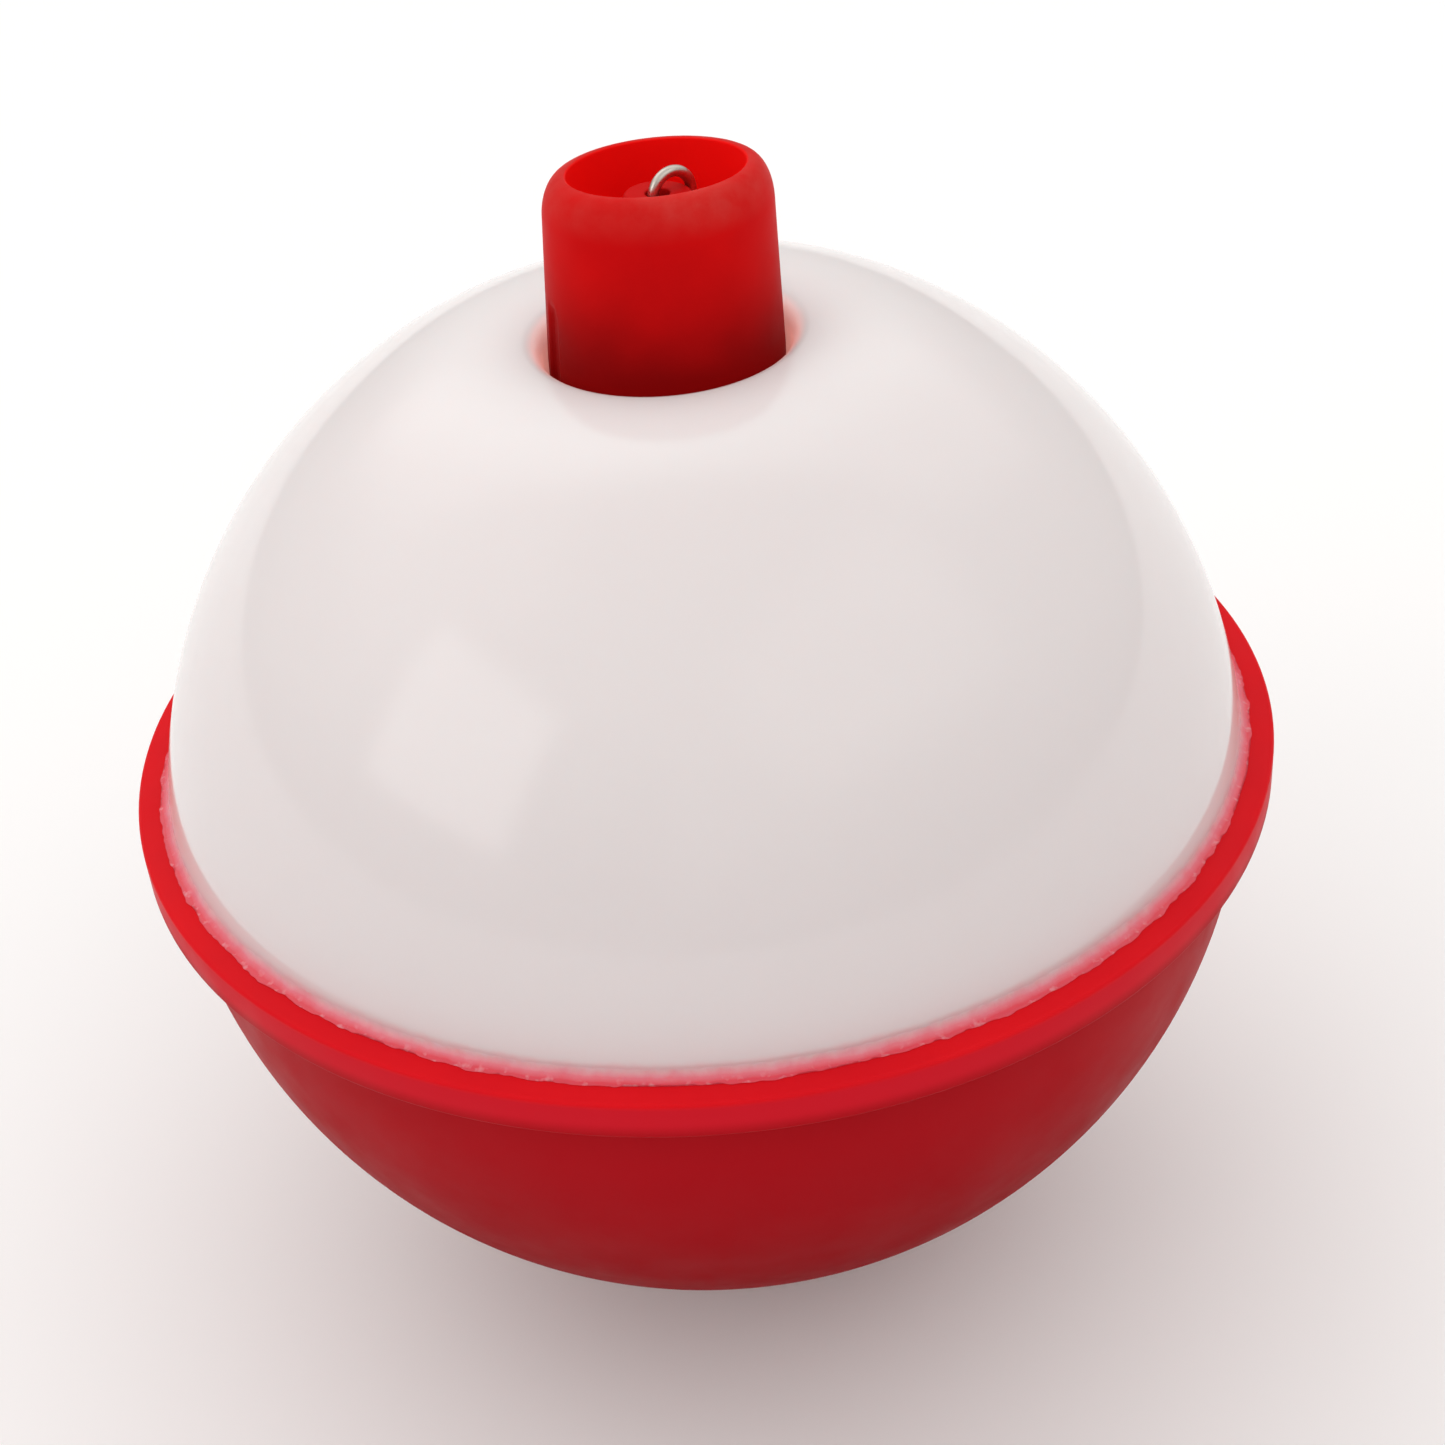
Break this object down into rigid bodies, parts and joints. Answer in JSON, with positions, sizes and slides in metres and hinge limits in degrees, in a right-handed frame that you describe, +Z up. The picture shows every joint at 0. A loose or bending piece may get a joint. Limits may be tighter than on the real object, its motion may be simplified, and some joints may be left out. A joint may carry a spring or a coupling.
{
  "type": "bobber float",
  "caption": "Round push-button fishing float: white dome and red flanged bowl welded together, with a spring-loaded red push button on top and a wire line hook at each end.",
  "frame": {"origin": "on the float's axis at the end face of the bottom boss, where the lower line hook comes out", "axes": "+Z up along the float's axis from the bottom boss to the push button; both line hooks point 33 degrees from +X towards +Y"},
  "size_m": [0.066, 0.066, 0.0713],
  "materials": {
    "white_plastic": "glossy, slightly translucent moulded plastic",
    "red_plastic": "satin gloss moulded plastic",
    "weld_plastic": "glossy melted plastic, ragged edge",
    "button_plastic": "satin moulded plastic",
    "stainless_wire": "drawn stainless wire",
    "spring_steel": "plain spring wire"
  },
  "bodies": {
    "float_body": {"upper_shell": "white_plastic", "lower_shell": "red_plastic", "seam_weld_bead": "weld_plastic", "return_spring": "spring_steel"},
    "wire": {"line_wire": "stainless_wire"},
    "button": {"push_button": "button_plastic"}
  },
  "joints": [
    {"name": "wire_press", "type": "slide", "parent": "float_body", "child": "wire", "axis": [0, 0, -1], "range_m": [0, 0.004], "stiffness_N_per_m": 250, "springref_m": -0.012, "deforming": ["return_spring"]},
    {"name": "rim_press", "type": "slide", "parent": "wire", "child": "button", "axis": [0, 0, -1], "range_m": [0, 0.0035], "stiffness_N_per_m": 250, "springref_m": -0.012, "deforming": ["return_spring"]}
  ]
}
